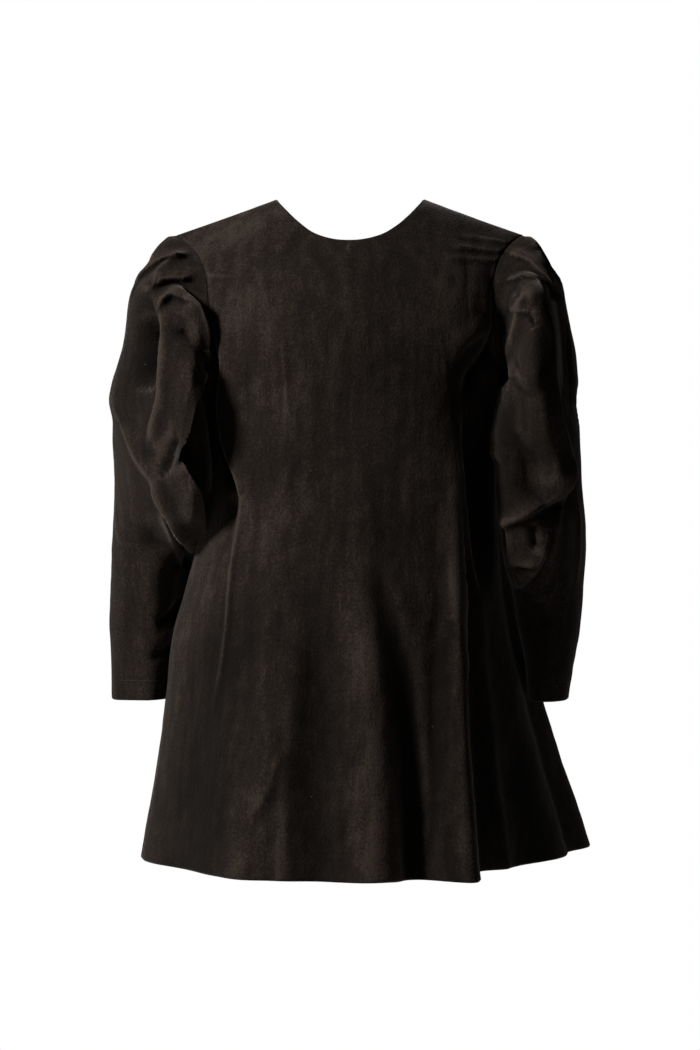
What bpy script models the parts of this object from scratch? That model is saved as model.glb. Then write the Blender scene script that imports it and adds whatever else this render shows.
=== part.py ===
"""A short flared velvet coat in its worn form, with pleated leg-of-mutton sleeves.

Metres, +Z up. The front faces +Y and the wearer's right is at +X. The origin is midway
between the two neck points, where the shoulder seams meet the neckline.
"""

from collections import namedtuple

import bmesh
import bpy
import numpy as np
from mathutils import Vector

for item in list(bpy.data.objects):
    bpy.data.objects.remove(item, do_unlink=True)

# Cloth
WALL = 0.0018
SEAM_GAP = 0.0003
VELVET_COLOUR = (0.0125, 0.0095, 0.0080, 1.0)
VELVET_ROUGHNESS = 0.9

# Drops are measured down from the neck points.
NECK_HALF_WIDTH = 0.085
NECK_DROP_BACK = 0.055
NECK_DROP_FRONT = 0.085
NECK_CURVE = 2.3
SHOULDER_HALF_WIDTH = 0.197
SHOULDER_DROP = 0.040
SHOULDER_SLOPE = SHOULDER_DROP / (SHOULDER_HALF_WIDTH - NECK_HALF_WIDTH)
ARMPIT_DROP = 0.215
HEM_DROP = 0.750

# How the cloth rolls over the shoulder, and how far the armhole cuts in from the side
ROLL_HEIGHT_CENTRE = 0.200
ROLL_HEIGHT_SHOULDER = 0.120
ARMHOLE_CUT = np.radians(24)

# Level sections of the body, from the neck points down: half widths to the wearer's
# left and right, depths behind and before, and how square the section is
Level = namedtuple("Level", "drop left right back front square")
BODY = [
    Level(0.000, 0.197, 0.197, 0.095, 0.092, 2.2),
    Level(0.040, 0.197, 0.197, 0.095, 0.092, 2.2),
    Level(0.090, 0.187, 0.187, 0.110, 0.107, 2.4),
    Level(0.130, 0.180, 0.180, 0.118, 0.115, 2.5),
    Level(0.215, 0.172, 0.172, 0.124, 0.119, 2.4),
    Level(0.360, 0.170, 0.170, 0.138, 0.118, 2.3),
    Level(0.450, 0.184, 0.175, 0.156, 0.128, 2.3),
    Level(0.560, 0.208, 0.197, 0.180, 0.150, 2.2),
    Level(0.750, 0.239, 0.251, 0.218, 0.188, 2.0),
]

# Flutes of the skirt: angle round from the back, positive to the wearer's right, and
# half width, both in degrees; how far the hem stands out or in; and the drop it starts at
Flute = namedtuple("Flute", "angle half_width reach start")
FLUTES = [
    Flute(31, 8, 0.030, 0.24),
    Flute(49, 9, -0.022, 0.26),
    Flute(64, 30, -0.036, 0.26),
    Flute(18, 6, -0.014, 0.44),
    Flute(6, 9, 0.006, 0.27),
    Flute(-12, 7, -0.008, 0.42),
    Flute(-31, 10, 0.006, 0.27),
    Flute(-58, 24, -0.016, 0.27),
    Flute(-105, 18, -0.042, 0.22),
    Flute(108, 15, 0.053, 0.16),
    Flute(131, 12, -0.020, 0.30),
    Flute(150, 11, 0.018, 0.27),
    Flute(172, 12, -0.012, 0.32),
    Flute(-158, 12, 0.018, 0.27),
    Flute(-138, 10, -0.014, 0.30),
    Flute(-126, 9, 0.018, 0.27),
]

# The two fronts meet edge to edge, closed at the neck by a button and a loop
OPEN_AT_HEM = 0.0036
BUTTON_RADIUS = 0.0055
BUTTON_HEIGHT = 0.0042
BUTTON_OUT = 0.0085
BUTTON_BELOW_NECK = 0.012
LOOP_RADIUS = 0.0008
LOOP_SLACK = 0.0009
LOOP_HOLD = 0.005

# Sleeve sections from the first below the armhole to the cuff: where the outer and the
# inner end of each are, its reach behind and before the line between them, and how far
# the pleats stand out in it
Ring = namedtuple(
    "Ring", "outer_x outer_y outer_drop inner_x inner_y inner_drop back front pleat"
)
SLEEVE_LEFT = [
    Ring(0.222, -0.002, 0.066, 0.1770, -0.002, 0.219, 0.068, 0.064, 0.0060),
    Ring(0.244, 0.000, 0.108, 0.1770, -0.014, 0.227, 0.077, 0.070, 0.0060),
    Ring(0.252, 0.004, 0.165, 0.1735, -0.028, 0.244, 0.080, 0.074, 0.0045),
    Ring(0.271, 0.010, 0.232, 0.1695, -0.040, 0.275, 0.078, 0.074, 0.0020),
    Ring(0.271, 0.018, 0.310, 0.1680, -0.044, 0.325, 0.074, 0.070, 0.0),
    Ring(0.272, 0.022, 0.350, 0.1755, -0.002, 0.365, 0.070, 0.067, 0.0),
    Ring(0.275, 0.026, 0.390, 0.1740, 0.036, 0.400, 0.066, 0.063, 0.0),
    Ring(0.278, 0.032, 0.440, 0.1840, 0.044, 0.445, 0.057, 0.055, 0.0),
    Ring(0.279, 0.038, 0.490, 0.1970, 0.044, 0.490, 0.048, 0.048, 0.0),
    Ring(0.278, 0.042, 0.532, 0.2050, 0.044, 0.532, 0.043, 0.043, 0.0),
    Ring(0.278, 0.045, 0.574, 0.2080, 0.045, 0.572, 0.040, 0.040, 0.0),
]
SLEEVE_RIGHT = [
    Ring(0.215, -0.002, 0.058, 0.1770, -0.002, 0.219, 0.068, 0.064, 0.0060),
    Ring(0.234, -0.004, 0.098, 0.1770, -0.016, 0.227, 0.077, 0.068, 0.0060),
    Ring(0.248, -0.006, 0.160, 0.1735, -0.030, 0.244, 0.080, 0.072, 0.0045),
    Ring(0.257, -0.008, 0.232, 0.1695, -0.042, 0.275, 0.076, 0.070, 0.0020),
    Ring(0.264, -0.010, 0.310, 0.1685, -0.046, 0.335, 0.070, 0.066, 0.0),
    Ring(0.269, -0.010, 0.390, 0.1730, -0.044, 0.400, 0.062, 0.061, 0.0),
    Ring(0.267, -0.008, 0.440, 0.1830, -0.034, 0.445, 0.055, 0.055, 0.0),
    Ring(0.263, -0.006, 0.490, 0.1920, -0.022, 0.490, 0.049, 0.050, 0.0),
    Ring(0.256, -0.005, 0.530, 0.1990, -0.016, 0.530, 0.046, 0.046, 0.0),
    Ring(0.250, -0.004, 0.570, 0.2040, -0.010, 0.572, 0.044, 0.044, 0.0),
]

# Knife pleats: how far apart their folds stand on the armhole, which runs from 0 at the
# shoulder point to 1 at the armpit, the same before and behind
PLEATS = 3
PLEAT_SPACING = 1 / 9

# Facets
ARMHOLE_STEPS = 18
SKIRT_STEPS = 8
NECK_STEPS = 6
SHOULDER_STEPS = 6
SLEEVE_STEPS = 13
BUTTON_STEPS = 16
FINE_STEPS = 1000
DIFFERENCE = 1e-4


def flow(knots, values, at):
    """Smooth curves through the rows of a table, read at the places given."""
    slopes = np.gradient(values, knots, axis=0)
    low = np.clip(np.searchsorted(knots, at, side="right") - 1, 0, len(knots) - 2)
    extra = low.shape + (1,) * (values.ndim - 1)
    span = (knots[low + 1] - knots[low]).reshape(extra)
    share = np.clip((at - knots[low]).reshape(extra) / span, 0, 1)
    rise = share**2 * (3 - 2 * share)
    bend = share * (1 - share) ** 2 * slopes[low] - share**2 * (1 - share) * slopes[low + 1]
    return values[low] + rise * (values[low + 1] - values[low]) + span * bend


def body_radius(angle, drop):
    """How far the body stands from the upright axis, at an angle round from the back."""
    table = np.array(BODY)
    level = flow(table[:, 0], table[:, 1:], drop)
    left, right, back, front, square = np.moveaxis(level, -1, 0)
    wide = np.where(np.sin(angle) < 0, left, right)
    deep = np.where(np.cos(angle) > 0, back, front)
    across = np.abs(np.sin(angle)) / wide
    along = np.abs(np.cos(angle)) / deep
    radius = (across**square + along**square) ** (-1 / square)
    for flute in FLUTES:
        off = (angle - np.radians(flute.angle) + np.pi) % (2 * np.pi) - np.pi
        crest = np.clip(off / np.radians(flute.half_width), -1, 1)
        grown = np.clip((drop - flute.start) / (HEM_DROP - flute.start), 0, 1)
        radius = radius + flute.reach * grown * np.cos(crest * np.pi / 2) ** 2
    return radius


def shoulder_line(x):
    """Drop of the shoulder line, carried on over the neck."""
    out = np.abs(x) - NECK_HALF_WIDTH
    over_neck = (x**2 - NECK_HALF_WIDTH**2) / (2 * NECK_HALF_WIDTH)
    return SHOULDER_SLOPE * np.where(out < 0, over_neck, out)


def top_x(across):
    """Where a column of the body's cloth meets its top edge."""
    angle = across * np.pi / 2
    return body_radius(angle, np.zeros_like(angle)) * np.sin(angle)


def column_angle(upper):
    """How far round a side edge is: square to the middle, less where the armhole cuts in."""
    return np.pi / 2 - ARMHOLE_CUT * np.sin(np.pi * upper)


def body_point(side, across, down):
    """A point on the body's cloth.

    side is -1 behind and 1 in front. across runs from -1 to 1 between the side edges.
    down runs from 0 at the top edge through 1 at the armpit to 2 at the hem.
    """
    across, down = np.broadcast_arrays(np.asarray(across, float), np.asarray(down, float))
    upper = np.clip(down, 0, 1)
    lower = np.clip(down - 1, 0, 1)
    angle = across * column_angle(upper)
    x_at_top = top_x(across)
    line = shoulder_line(x_at_top)
    neck_drop = NECK_DROP_BACK if side < 0 else NECK_DROP_FRONT
    neckline = neck_drop * (1 - np.minimum(np.abs(x_at_top) / NECK_HALF_WIDTH, 1) ** NECK_CURVE)
    top = np.where(np.abs(x_at_top) < NECK_HALF_WIDTH, neckline, line)
    share = (1 - np.cos(np.pi * upper)) / 2
    drop = top + (ARMPIT_DROP - top) * share + (HEM_DROP - ARMPIT_DROP) * lower
    turned = angle if side < 0 else np.where(across < 0, -1, 1) * np.pi - angle
    radius = body_radius(turned, drop)
    outward = (x_at_top / SHOULDER_HALF_WIDTH) ** 2
    height = ROLL_HEIGHT_CENTRE + (ROLL_HEIGHT_SHOULDER - ROLL_HEIGHT_CENTRE) * outward
    roll = np.clip((drop - line) / height, 0, 1)
    y = side * (radius * np.cos(angle) * np.sqrt(roll * (2 - roll)) + SEAM_GAP / 2)
    return np.stack([radius * np.sin(angle), y, -drop], axis=-1)


def body_normal(side, across, down):
    """The cloth's outward direction at a point of the body."""
    wider = body_point(side, across + DIFFERENCE, down)
    narrower = body_point(side, across - DIFFERENCE, down)
    lower = body_point(side, across, np.minimum(down + DIFFERENCE, 2))
    higher = body_point(side, across, np.maximum(down - DIFFERENCE, 0))
    normal = side * unit(np.cross(wider - narrower, lower - higher))
    slope = SHOULDER_SLOPE * np.sign(across)
    seam = unit(np.stack([slope, np.zeros_like(slope), np.ones_like(slope)], axis=-1))
    on_seam = (down == 0) & (np.abs(top_x(across)) > NECK_HALF_WIDTH - SEAM_GAP)
    return np.where(on_seam[..., None], seam, normal)


def unit(vectors):
    return vectors / np.linalg.norm(vectors, axis=-1, keepdims=True)


def body_rows():
    upper = np.linspace(0, 1, ARMHOLE_STEPS + 1)
    lower = np.linspace(1, 2, SKIRT_STEPS + 1)[1:]
    return np.concatenate([upper, lower])


def half_columns():
    """Places across from the middle to a side edge, with one on the neck point."""
    fine = np.linspace(0, 1, FINE_STEPS)
    neck = np.interp(NECK_HALF_WIDTH, top_x(fine), fine)
    inner = np.linspace(0, neck, NECK_STEPS + 1)
    outer = np.linspace(neck, 1, SHOULDER_STEPS + 1)[1:]
    return np.concatenate([inner, outer])


def armhole(hand, around):
    """The body's edge round the armhole. around is 0 at the shoulder and pi at the armpit."""
    behind = body_point(-1, hand, np.minimum(around / np.pi, 1))
    before = body_point(1, hand, np.minimum(2 - around / np.pi, 1))
    return np.where((around <= np.pi)[:, None], behind, before)


def pleat_stand(around):
    """How far the pleats stand out round a section, from 0 in a valley to 1 on a fold."""
    place = 1 - np.abs(1 - around / np.pi)
    folds = PLEAT_SPACING * np.arange(1, PLEATS + 1)[:, None]
    off = np.abs(place - folds) / (PLEAT_SPACING / 2)
    return np.maximum(np.max(1 - off, axis=0), 0)


def sleeve_ring(hand, ring, around):
    """One section of a sleeve, tilted from its inner end to its outer end."""
    outer = np.array([hand * ring.outer_x, ring.outer_y, -ring.outer_drop])
    inner = np.array([hand * ring.inner_x, ring.inner_y, -ring.inner_drop])
    reach = np.where(np.sin(around) > 0, ring.back, ring.front)
    away = np.cos(around)[:, None] * (outer - inner) / 2
    away[:, 1] -= np.sin(around) * reach
    return (outer + inner) / 2 + away + ring.pleat * pleat_stand(around)[:, None] * unit(away)


def sleeve_point(hand, table, down, around):
    """The sleeve's cloth. down counts sections from the armhole seam."""
    seam = armhole(hand, around) + np.array([hand * SEAM_GAP, 0, 0])
    rings = [seam] + [sleeve_ring(hand, ring, around) for ring in table]
    return flow(np.arange(len(rings)), np.array(rings), down)


def sleeve_normal(hand, table, down, around):
    last = len(table)
    turn = 2 * np.pi
    ahead = sleeve_point(hand, table, down, (around + DIFFERENCE) % turn)
    behind = sleeve_point(hand, table, down, (around - DIFFERENCE) % turn)
    lower = sleeve_point(hand, table, np.minimum(down + DIFFERENCE, last), around)
    higher = sleeve_point(hand, table, np.maximum(down - DIFFERENCE, 0), around)
    normal = hand * np.cross(ahead - behind, higher - lower)
    normal[0, :, 0] = 0  # the seam's edge stands square to the body's edge
    return unit(normal)


def velvet(name):
    material = bpy.data.materials.new(name + "_velvet")
    material.use_nodes = True
    shader = material.node_tree.nodes["Principled BSDF"]
    shader.inputs["Base Color"].default_value = VELVET_COLOUR
    shader.inputs["Roughness"].default_value = VELVET_ROUGHNESS
    shader.inputs["Metallic"].default_value = 0.0
    return material


def add_mesh(name, points, faces):
    mesh = bpy.data.meshes.new(name)
    mesh.from_pydata(points.tolist(), [], faces.tolist())
    shape = bmesh.new()
    shape.from_mesh(mesh)
    bmesh.ops.recalc_face_normals(shape, faces=shape.faces)
    shape.to_mesh(mesh)
    shape.free()
    piece = bpy.data.objects.new(name, mesh)
    bpy.context.scene.collection.objects.link(piece)
    return piece


def grid_quads(grid):
    corners = [grid[:-1, :-1], grid[1:, :-1], grid[1:, 1:], grid[:-1, 1:]]
    return np.stack(corners, axis=-1).reshape(-1, 4)


def cloth(name, outside, normal, closed=False):
    """A cloth wall: the outside, the inside a wall's thickness under it, and the raw edges."""
    rows, columns = outside.shape[:2]
    inside = outside - WALL * normal
    points = np.concatenate([outside.reshape(-1, 3), inside.reshape(-1, 3)])
    over = np.arange(rows * columns).reshape(rows, columns)
    if closed:
        over = np.concatenate([over, over[:, :1]], axis=1)
    under = over + rows * columns
    sheets = [over, under[:, ::-1]]
    sheets += [np.stack([under[0], over[0]]), np.stack([over[-1], under[-1]])]
    if not closed:
        sheets += [np.stack([under[:, 0], over[:, 0]], axis=1)]
        sheets += [np.stack([over[:, -1], under[:, -1]], axis=1)]
    faces = np.concatenate([grid_quads(sheet) for sheet in sheets])
    return add_mesh(name, points, faces)


def back():
    half = half_columns()
    across, down = np.meshgrid(np.concatenate([-half[:0:-1], half]), body_rows())
    return cloth("back", body_point(-1, across, down), body_normal(-1, across, down))


def front(name, hand):
    """One front, from its side edge to where it meets the other front."""
    down = body_rows()
    middle = body_point(1, 0, down)
    below_button = np.clip(-middle[:, 2] - NECK_DROP_FRONT - BUTTON_BELOW_NECK, 0, None)
    gap = SEAM_GAP + OPEN_AT_HEM * below_button / HEM_DROP
    edge = (gap / 2 / (middle[:, 1] * np.pi / 2))[:, None]
    across = hand * (edge + (1 - edge) * half_columns())
    down = np.broadcast_to(down[:, None], across.shape)
    return cloth(name, body_point(1, across, down), body_normal(1, across, down))


def sleeve(name, hand, table):
    around = np.linspace(0, 2 * np.pi, 2 * ARMHOLE_STEPS, endpoint=False)
    down = np.linspace(0, len(table), SLEEVE_STEPS + 1)
    outside = sleeve_point(hand, table, down, around)
    return cloth(name, outside, sleeve_normal(hand, table, down, around), closed=True)


def on_front(x, below_neck):
    """A point on the front near its middle, and the cloth's outward direction there."""
    share = below_neck / (ARMPIT_DROP - NECK_DROP_FRONT)
    down = np.arccos(1 - 2 * share) / np.pi
    angle = np.arcsin(x / body_radius(np.pi, NECK_DROP_FRONT + below_neck))
    across = angle / column_angle(down)
    return body_point(1, across, down), body_normal(1, across, down)


def button():
    """A low covered dome, turned round its own axis and set on the front's cloth."""
    turn = np.linspace(0, 2 * np.pi, BUTTON_STEPS, endpoint=False)
    rise = np.linspace(0, np.pi / 2, BUTTON_STEPS // 4, endpoint=False)
    radius = (BUTTON_RADIUS * np.cos(rise))[:, None]
    height = np.broadcast_to((BUTTON_HEIGHT * np.sin(rise))[:, None], (len(rise), len(turn)))
    dome = np.stack([radius * np.cos(turn), radius * np.sin(turn), height], axis=-1)
    points = np.concatenate([dome.reshape(-1, 3), [[0, 0, BUTTON_HEIGHT], [0, 0, 0]]])
    grid = np.arange(dome[..., 0].size).reshape(dome.shape[:2])
    grid = np.concatenate([grid, grid[:, :1]], axis=1)
    faces = grid_quads(grid).tolist()
    top, base = len(points) - 2, len(points) - 1
    faces += [[grid[-1, k], grid[-1, k + 1], top] for k in range(BUTTON_STEPS)]
    faces += [[grid[0, k + 1], grid[0, k], base] for k in range(BUTTON_STEPS)]
    piece = add_mesh("button", points, np.array(faces, dtype=object))
    place, out = on_front(BUTTON_OUT, BUTTON_BELOW_NECK)
    piece.location = place + SEAM_GAP * out
    piece.rotation_euler = Vector(out).to_track_quat("Z", "Y").to_euler()
    return piece


def button_loop():
    """A cord from the left front's edge, round the button and back, lying on the cloth."""
    bend = BUTTON_RADIUS + LOOP_RADIUS + LOOP_SLACK
    turn = np.linspace(np.pi / 2, -np.pi / 2, BUTTON_STEPS // 2 + 1)
    x = np.concatenate([[-LOOP_HOLD, 0], BUTTON_OUT + bend * np.cos(turn), [0, -LOOP_HOLD]])
    rise = np.concatenate([[bend, bend], bend * np.sin(turn), [-bend, -bend]])
    path = bpy.data.curves.new("button_loop", "CURVE")
    path.dimensions = "3D"
    path.bevel_depth = LOOP_RADIUS
    path.bevel_resolution = 1
    path.use_fill_caps = True
    line = path.splines.new("POLY")
    line.points.add(len(x) - 1)
    for point, x_here, rise_here in zip(line.points, x, rise):
        place, out = on_front(x_here, BUTTON_BELOW_NECK - rise_here)
        point.co = (*(place + (SEAM_GAP + LOOP_RADIUS) * out), 1)
    piece = bpy.data.objects.new("button_loop", path)
    bpy.context.scene.collection.objects.link(piece)
    return piece


pieces = [
    back(),
    front("front_left", -1),
    front("front_right", 1),
    sleeve("sleeve_left", -1, SLEEVE_LEFT),
    sleeve("sleeve_right", 1, SLEEVE_RIGHT),
    button(),
    button_loop(),
]
for made in pieces:
    made.data.materials.append(velvet(made.name))
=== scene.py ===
from collections import namedtuple

import bpy
import numpy as np
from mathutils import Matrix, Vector


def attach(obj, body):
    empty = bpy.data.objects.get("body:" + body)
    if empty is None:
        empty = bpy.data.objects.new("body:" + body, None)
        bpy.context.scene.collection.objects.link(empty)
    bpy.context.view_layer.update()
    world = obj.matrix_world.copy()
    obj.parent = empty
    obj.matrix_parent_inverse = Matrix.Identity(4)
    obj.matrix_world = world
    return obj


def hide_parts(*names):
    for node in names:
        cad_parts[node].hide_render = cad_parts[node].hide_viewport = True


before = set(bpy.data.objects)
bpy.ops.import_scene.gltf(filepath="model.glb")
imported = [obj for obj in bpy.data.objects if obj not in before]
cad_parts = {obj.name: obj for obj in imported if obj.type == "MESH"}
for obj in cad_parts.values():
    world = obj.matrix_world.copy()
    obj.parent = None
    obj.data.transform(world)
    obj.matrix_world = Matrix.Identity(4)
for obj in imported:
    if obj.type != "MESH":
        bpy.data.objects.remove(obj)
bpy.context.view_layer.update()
mm = 0.001
print("frame loaded:", sorted(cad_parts))

# The camera stands level behind the coat. frameHeight is what the picture takes in at the coat.
photoView = dict(distance=2.8, height=-0.373, frameHeight=1.204)


def makeCamera():
    lens = bpy.data.cameras.new("photoCamera")
    lens.lens = lens.sensor_width * photoView["distance"] / photoView["frameHeight"]
    camera = bpy.data.objects.new("photoCamera", lens)
    camera.location = (0, -photoView["distance"], photoView["height"])
    camera.rotation_euler = (np.pi / 2, 0, 0)
    bpy.context.scene.collection.objects.link(camera)
    bpy.context.scene.camera = camera


makeCamera()

# Shared tools for laying out cloth


def unit(vectors):
    return vectors / np.maximum(np.linalg.norm(vectors, axis=-1, keepdims=True), 1e-12)


def smoothStep(value):
    value = np.clip(value, 0, 1)
    return value * value * (3 - 2 * value)


def flow(knots, values, at):  # smooth curves through the rows of a table
    slopes = np.gradient(values, knots, axis=0)
    low = np.clip(np.searchsorted(knots, at, side="right") - 1, 0, len(knots) - 2)
    extra = low.shape + (1,) * (values.ndim - 1)
    span = (knots[low + 1] - knots[low]).reshape(extra)
    share = np.clip((at - knots[low]).reshape(extra) / span, 0, 1)
    rise = share**2 * (3 - 2 * share)
    bend = share * (1 - share) ** 2 * slopes[low] - share**2 * (1 - share) * slopes[low + 1]
    return values[low] + rise * (values[low + 1] - values[low]) + span * bend


def unevenness(places, size, seed):  # gentle waves in no one direction, from -1 to 1 or so
    rng = np.random.default_rng(seed)
    waves = 40
    total = np.zeros(places.shape[:-1])
    for _ in range(waves):
        way = unit(rng.normal(size=places.shape[-1]))
        total += np.cos(places @ way * 2 * np.pi / (size * rng.uniform(0.7, 1.6)) + rng.uniform(0, 6.3))
    return total / np.sqrt(waves / 2)


# The body of the coat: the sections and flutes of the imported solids, a few of them shifted a little to
# follow the photo's shadows and outline. Drops are measured from the neck points.
Level = namedtuple("Level", "drop left right back front square")
Flute = namedtuple("Flute", "angle halfWidth reach start swing", defaults=(0,))
coatBody = dict(
    neckHalfWidth=0.085,
    neckDrop={-1: 0.055, 1: 0.085},  # behind and before
    neckCurve=2.3,
    shoulderHalfWidth=0.197,
    shoulderDrop=0.040,
    armpitDrop=0.215,
    hemDrop=0.750,
    rollCentre=0.200,
    rollShoulder=0.120,
    armholeCut=np.radians(24),
    seamGap=0.0003,
    swingCurve=1.5,  # how soon a flute's swing dies out on its way down
    levels=[
        Level(0.000, 0.197, 0.197, 0.095, 0.092, 2.2),
        Level(0.040, 0.197, 0.197, 0.095, 0.092, 2.2),
        Level(0.090, 0.187, 0.187, 0.110, 0.107, 2.4),
        Level(0.130, 0.180, 0.180, 0.118, 0.115, 2.5),
        Level(0.215, 0.172, 0.172, 0.124, 0.119, 2.4),
        Level(0.360, 0.170, 0.170, 0.138, 0.118, 2.3),
        Level(0.450, 0.188, 0.175, 0.156, 0.128, 2.3),
        Level(0.500, 0.204, 0.183, 0.167, 0.137, 2.25),
        Level(0.560, 0.209, 0.197, 0.180, 0.150, 2.2),
        Level(0.750, 0.239, 0.251, 0.218, 0.188, 2.0),
    ],
    flutes=[  # angle at the hem from the back's middle, positive to the right; swing is added higher up
        Flute(31, 8, 0.030, 0.24, 20),
        Flute(46, 12, -0.024, 0.26, 17),
        Flute(64, 30, -0.036, 0.26),
        Flute(19, 7, -0.013, 0.48),
        Flute(6, 9, 0.006, 0.27),
        Flute(-10, 11, -0.007, 0.42),
        Flute(-31, 10, 0.006, 0.27),
        Flute(-58, 24, -0.016, 0.27),
        Flute(-105, 18, -0.042, 0.22),
        Flute(108, 15, 0.053, 0.16),
        Flute(131, 12, -0.020, 0.30),
        Flute(150, 11, 0.018, 0.27),
        Flute(172, 12, -0.012, 0.32),
        Flute(-158, 12, 0.018, 0.27),
        Flute(-138, 10, -0.014, 0.30),
        Flute(-126, 9, 0.018, 0.27),
    ],
)


def bodyRadius(angle, drop):
    table = np.array(coatBody["levels"])
    left, right, back, front, square = np.moveaxis(flow(table[:, 0], table[:, 1:], drop), -1, 0)
    wide = np.where(np.sin(angle) < 0, left, right)
    deep = np.where(np.cos(angle) > 0, back, front)
    across = np.abs(np.sin(angle)) / wide
    along = np.abs(np.cos(angle)) / deep
    radius = (across**square + along**square) ** (-1 / square)
    for flute in coatBody["flutes"]:
        grown = np.clip((drop - flute.start) / (coatBody["hemDrop"] - flute.start), 0, 1)
        middle = np.radians(flute.angle + flute.swing * (1 - grown) ** coatBody["swingCurve"])
        off = (angle - middle + np.pi) % (2 * np.pi) - np.pi
        crest = np.clip(off / np.radians(flute.halfWidth), -1, 1)
        radius = radius + flute.reach * grown * np.cos(crest * np.pi / 2) ** 2
    return radius


def shoulderLine(x):
    neck = coatBody["neckHalfWidth"]
    slope = coatBody["shoulderDrop"] / (coatBody["shoulderHalfWidth"] - neck)
    out = np.abs(x) - neck
    return slope * np.where(out < 0, (x**2 - neck**2) / (2 * neck), out)


def topX(across):
    angle = across * np.pi / 2
    return bodyRadius(angle, np.zeros_like(angle)) * np.sin(angle)


def bodyPoint(side, across, down):
    # side -1 behind, 1 in front; across -1 to 1; down 0 at the top edge, 1 at the armpit, 2 at the hem
    across, down = np.broadcast_arrays(np.asarray(across, float), np.asarray(down, float))
    upper = np.clip(down, 0, 1)
    xAtTop = topX(across)
    line = shoulderLine(xAtTop)
    neck = coatBody["neckHalfWidth"]
    cut = smoothStep((np.abs(xAtTop) - neck) / (coatBody["shoulderHalfWidth"] - neck))
    angle = across * (np.pi / 2 - coatBody["armholeCut"] * np.sin(np.pi * upper) * cut)
    nearNeck = np.minimum(np.abs(xAtTop) / neck, 1)
    neckline = coatBody["neckDrop"][side] * (1 - nearNeck ** coatBody["neckCurve"])
    top = np.where(np.abs(xAtTop) < neck, neckline, line)
    share = (1 - np.cos(np.pi * upper)) / 2
    skirt = coatBody["hemDrop"] - coatBody["armpitDrop"]
    drop = top + (coatBody["armpitDrop"] - top) * share + skirt * np.clip(down - 1, 0, 1)
    turned = angle if side < 0 else np.where(across < 0, -1, 1) * np.pi - angle
    radius = bodyRadius(turned, drop)
    outward = (xAtTop / coatBody["shoulderHalfWidth"]) ** 2
    height = coatBody["rollCentre"] + (coatBody["rollShoulder"] - coatBody["rollCentre"]) * outward
    roll = np.clip((drop - line) / height, 0, 1)
    y = side * (radius * np.cos(angle) * np.sqrt(roll * (2 - roll)) + coatBody["seamGap"] / 2)
    return np.stack([radius * np.sin(angle), y, -drop], axis=-1)


def bodyRows(upperRows, skirtRows):
    crowding = 1.5  # how much the rows close up towards the top edge
    upper = np.arccos(1 - 2 * np.linspace(0, 1, upperRows) ** crowding) / np.pi
    return np.concatenate([upper, np.linspace(1, 2, skirtRows + 1)[1:]])


def halfColumns(neckColumns, shoulderColumns):  # from the middle to a side edge, one on the neck point
    fine = np.linspace(0, 1, 2000)
    neck = np.interp(coatBody["neckHalfWidth"], topX(fine), fine)
    inner = np.linspace(0, neck, neckColumns)
    return np.concatenate([inner, np.linspace(neck, 1, shoulderColumns + 1)[1:]])


# The sleeves: sections from the first below the armhole to the cuff
Ring = namedtuple("Ring", "outerX outerY outerDrop innerX innerY innerDrop back front")
sleeveRings = {
    -1: [
        Ring(0.222, -0.002, 0.066, 0.1745, -0.008, 0.219, 0.068, 0.064),
        Ring(0.244, 0.000, 0.108, 0.1720, -0.030, 0.228, 0.077, 0.070),
        Ring(0.252, 0.004, 0.165, 0.1690, -0.045, 0.244, 0.080, 0.074),
        Ring(0.271, 0.010, 0.232, 0.1640, -0.058, 0.275, 0.078, 0.074),
        Ring(0.271, 0.018, 0.310, 0.1600, -0.060, 0.325, 0.074, 0.070),
        Ring(0.272, 0.022, 0.350, 0.1665, -0.036, 0.365, 0.070, 0.067),
        Ring(0.275, 0.026, 0.390, 0.1740, 0.036, 0.400, 0.066, 0.063),
        Ring(0.278, 0.032, 0.440, 0.1840, 0.044, 0.445, 0.057, 0.055),
        Ring(0.279, 0.038, 0.490, 0.1920, 0.044, 0.490, 0.048, 0.048),
        Ring(0.278, 0.042, 0.532, 0.2000, 0.044, 0.532, 0.043, 0.043),
        Ring(0.278, 0.045, 0.574, 0.2080, 0.045, 0.572, 0.040, 0.040),
    ],
    1: [
        Ring(0.215, -0.002, 0.058, 0.1745, -0.008, 0.219, 0.068, 0.064),
        Ring(0.234, -0.004, 0.098, 0.1720, -0.030, 0.228, 0.077, 0.068),
        Ring(0.248, -0.006, 0.160, 0.1690, -0.047, 0.244, 0.080, 0.072),
        Ring(0.257, -0.008, 0.232, 0.1640, -0.060, 0.275, 0.076, 0.070),
        Ring(0.264, -0.010, 0.310, 0.1630, -0.064, 0.335, 0.070, 0.066),
        Ring(0.269, -0.010, 0.390, 0.1700, -0.060, 0.400, 0.062, 0.061),
        Ring(0.267, -0.008, 0.440, 0.1830, -0.034, 0.445, 0.055, 0.055),
        Ring(0.263, -0.006, 0.490, 0.1920, -0.022, 0.490, 0.049, 0.050),
        Ring(0.256, -0.005, 0.530, 0.1990, -0.016, 0.530, 0.046, 0.046),
        Ring(0.250, -0.004, 0.570, 0.2040, -0.010, 0.572, 0.044, 0.044),
    ],
}


def armhole(hand, around):
    behind = bodyPoint(-1, hand, np.minimum(around / np.pi, 1))
    before = bodyPoint(1, hand, np.minimum(2 - around / np.pi, 1))
    return np.where((around <= np.pi)[:, None], behind, before)


def sleeveRing(hand, ring, around):
    outer = np.array([hand * ring.outerX, ring.outerY, -ring.outerDrop])
    inner = np.array([hand * ring.innerX, ring.innerY, -ring.innerDrop])
    reach = np.where(np.sin(around) > 0, ring.back, ring.front)
    away = np.cos(around)[:, None] * (outer - inner) / 2
    away[:, 1] -= np.sin(around) * reach
    return (outer + inner) / 2 + away


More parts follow.
